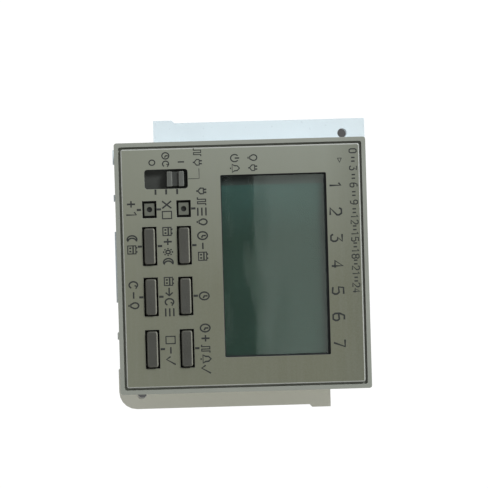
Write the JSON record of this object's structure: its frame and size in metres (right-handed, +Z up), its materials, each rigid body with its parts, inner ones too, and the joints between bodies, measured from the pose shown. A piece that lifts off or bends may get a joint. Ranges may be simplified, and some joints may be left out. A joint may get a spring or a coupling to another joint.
{
  "type": "rail-mounted time switch",
  "caption": "Weekly time switch with square metal-faced front, blank display, push keys, a slide switch and underside screw terminals, on a rail or two-screw base.",
  "frame": {"origin": "middle of the flat channel floor that seats on the front of the 35 mm rail, level with the middle of the front", "axes": "+Y points back to the rail and wall, so the front with its display and keys faces -Y; +Z is up, with the display above the keys; +X is to the right as seen from the front"},
  "size_m": [0.0862, 0.051, 0.075],
  "materials": {
    "white_plastic": "satin moulded",
    "grey_plastic": "satin moulded",
    "panel_metal": "satin metallic print",
    "key_rubber": "matte",
    "knob_plastic": "matte",
    "clear_plastic": "clear",
    "lcd_green": "gloss",
    "black_plastic": "matte",
    "silicone": "matte",
    "board_green": "solder mask",
    "relay_blue": "gloss",
    "laminations": "varnished",
    "coil_tape": "tape",
    "sleeve_black": "shrink sleeve",
    "disc_blue": "epoxy dip",
    "steel": "plated",
    "brass": "plated",
    "ribbon_grey": "ribbon"
  },
  "bodies": {
    "case": {"base_case": "white_plastic", "front_case": "grey_plastic", "front_panel": "panel_metal", "lcd_window": "clear_plastic", "lcd_glass": "lcd_green", "lcd_holder": "black_plastic", "contact_strip_upper": "silicone", "contact_strip_lower": "silicone", "control_board": "board_green", "power_board": "board_green", "board_ribbon": "ribbon_grey", "relay": "relay_blue", "transformer_core": "laminations", "transformer_coil": "coil_tape", "filter_capacitor": "sleeve_black", "surge_varistor": "disc_blue", "backup_cell": "steel", "microcontroller": "black_plastic", "crystal": "steel", "slide_switch": "steel", "case_screw_left": "steel", "case_screw_right": "steel", "latch_spring": "steel", "mode_key_switch": "black_plastic", "hour_key_switch": "black_plastic", "minute_key_switch": "black_plastic", "weekday_key_switch": "black_plastic", "advance_key_switch": "black_plastic", "set_key_switch": "black_plastic", "clear_button_switch": "black_plastic", "plus_hour_button_switch": "black_plastic", "terminal_plate_1": "brass", "terminal_plate_2": "brass", "terminal_plate_3": "brass", "terminal_plate_4": "brass"},
    "mode_key": {"mode_key": "key_rubber", "mode_key_plunger": "silicone"},
    "hour_key": {"hour_key": "key_rubber", "hour_key_plunger": "silicone"},
    "minute_key": {"minute_key": "key_rubber", "minute_key_plunger": "silicone"},
    "weekday_key": {"weekday_key": "key_rubber", "weekday_key_plunger": "silicone"},
    "advance_key": {"advance_key": "key_rubber", "advance_key_plunger": "silicone"},
    "set_key": {"set_key": "key_rubber", "set_key_plunger": "silicone"},
    "clear_button": {"clear_button": "key_rubber"},
    "plus_hour_button": {"plus_hour_button": "key_rubber"},
    "slide_knob": {"slide_knob": "knob_plastic"},
    "rail_latch": {"rail_latch": "white_plastic"},
    "clamp_1": {"clamp_washer_1": "steel"},
    "screw_1": {"terminal_screw_1": "steel"},
    "clamp_2": {"clamp_washer_2": "steel"},
    "screw_2": {"terminal_screw_2": "steel"},
    "clamp_3": {"clamp_washer_3": "steel"},
    "screw_3": {"terminal_screw_3": "steel"},
    "clamp_4": {"clamp_washer_4": "steel"},
    "screw_4": {"terminal_screw_4": "steel"}
  },
  "joints": [
    {"name": "mode_key_press", "type": "slide", "parent": "case", "child": "mode_key", "axis": [0, 1, 0], "range_m": [0, 0.0005], "stiffness_N_per_m": 2000, "springref_m": -0.0003},
    {"name": "hour_key_press", "type": "slide", "parent": "case", "child": "hour_key", "axis": [0, 1, 0], "range_m": [0, 0.0005], "stiffness_N_per_m": 2000, "springref_m": -0.0003},
    {"name": "minute_key_press", "type": "slide", "parent": "case", "child": "minute_key", "axis": [0, 1, 0], "range_m": [0, 0.0005], "stiffness_N_per_m": 2000, "springref_m": -0.0003},
    {"name": "weekday_key_press", "type": "slide", "parent": "case", "child": "weekday_key", "axis": [0, 1, 0], "range_m": [0, 0.0005], "stiffness_N_per_m": 2000, "springref_m": -0.0003},
    {"name": "advance_key_press", "type": "slide", "parent": "case", "child": "advance_key", "axis": [0, 1, 0], "range_m": [0, 0.0005], "stiffness_N_per_m": 2000, "springref_m": -0.0003},
    {"name": "set_key_press", "type": "slide", "parent": "case", "child": "set_key", "axis": [0, 1, 0], "range_m": [0, 0.0005], "stiffness_N_per_m": 2000, "springref_m": -0.0003},
    {"name": "clear_button_press", "type": "slide", "parent": "case", "child": "clear_button", "axis": [0, 1, 0], "range_m": [0, 0.0005], "stiffness_N_per_m": 2000, "springref_m": -0.0003},
    {"name": "plus_hour_button_press", "type": "slide", "parent": "case", "child": "plus_hour_button", "axis": [0, 1, 0], "range_m": [0, 0.0005], "stiffness_N_per_m": 2000, "springref_m": -0.0003},
    {"name": "mode_slide", "type": "slide", "parent": "case", "child": "slide_knob", "axis": [0, 0, -1], "range_m": [0, 0.0054]},
    {"name": "latch_pull", "type": "slide", "parent": "case", "child": "rail_latch", "axis": [0, 0, -1], "range_m": [0, 0.004], "stiffness_N_per_m": 1500, "springref_m": -0.001, "deforming": ["latch_spring"]},
    {"name": "clamp_lift_1", "type": "slide", "parent": "case", "child": "clamp_1", "axis": [0, 0, -1], "range_m": [0, 0.003]},
    {"name": "screw_turn_1", "type": "hinge", "parent": "clamp_1", "child": "screw_1", "pos_m": [-0.026, -0.0125, 0], "axis": [0, 0, -1], "range_deg": [0, 1800]},
    {"name": "clamp_lift_2", "type": "slide", "parent": "case", "child": "clamp_2", "axis": [0, 0, -1], "range_m": [0, 0.003]},
    {"name": "screw_turn_2", "type": "hinge", "parent": "clamp_2", "child": "screw_2", "pos_m": [-0.015, -0.0125, 0], "axis": [0, 0, -1], "range_deg": [0, 1800]},
    {"name": "clamp_lift_3", "type": "slide", "parent": "case", "child": "clamp_3", "axis": [0, 0, -1], "range_m": [0, 0.003]},
    {"name": "screw_turn_3", "type": "hinge", "parent": "clamp_3", "child": "screw_3", "pos_m": [0.015, -0.0125, 0], "axis": [0, 0, -1], "range_deg": [0, 1800]},
    {"name": "clamp_lift_4", "type": "slide", "parent": "case", "child": "clamp_4", "axis": [0, 0, -1], "range_m": [0, 0.003]},
    {"name": "screw_turn_4", "type": "hinge", "parent": "clamp_4", "child": "screw_4", "pos_m": [0.026, -0.0125, 0], "axis": [0, 0, -1], "range_deg": [0, 1800]}
  ],
  "couplings": [
    {"joint": "screw_turn_1", "follows": "clamp_lift_1", "rad_per_m": 10472},
    {"joint": "screw_turn_2", "follows": "clamp_lift_2", "rad_per_m": 10472},
    {"joint": "screw_turn_3", "follows": "clamp_lift_3", "rad_per_m": 10472},
    {"joint": "screw_turn_4", "follows": "clamp_lift_4", "rad_per_m": 10472}
  ]
}
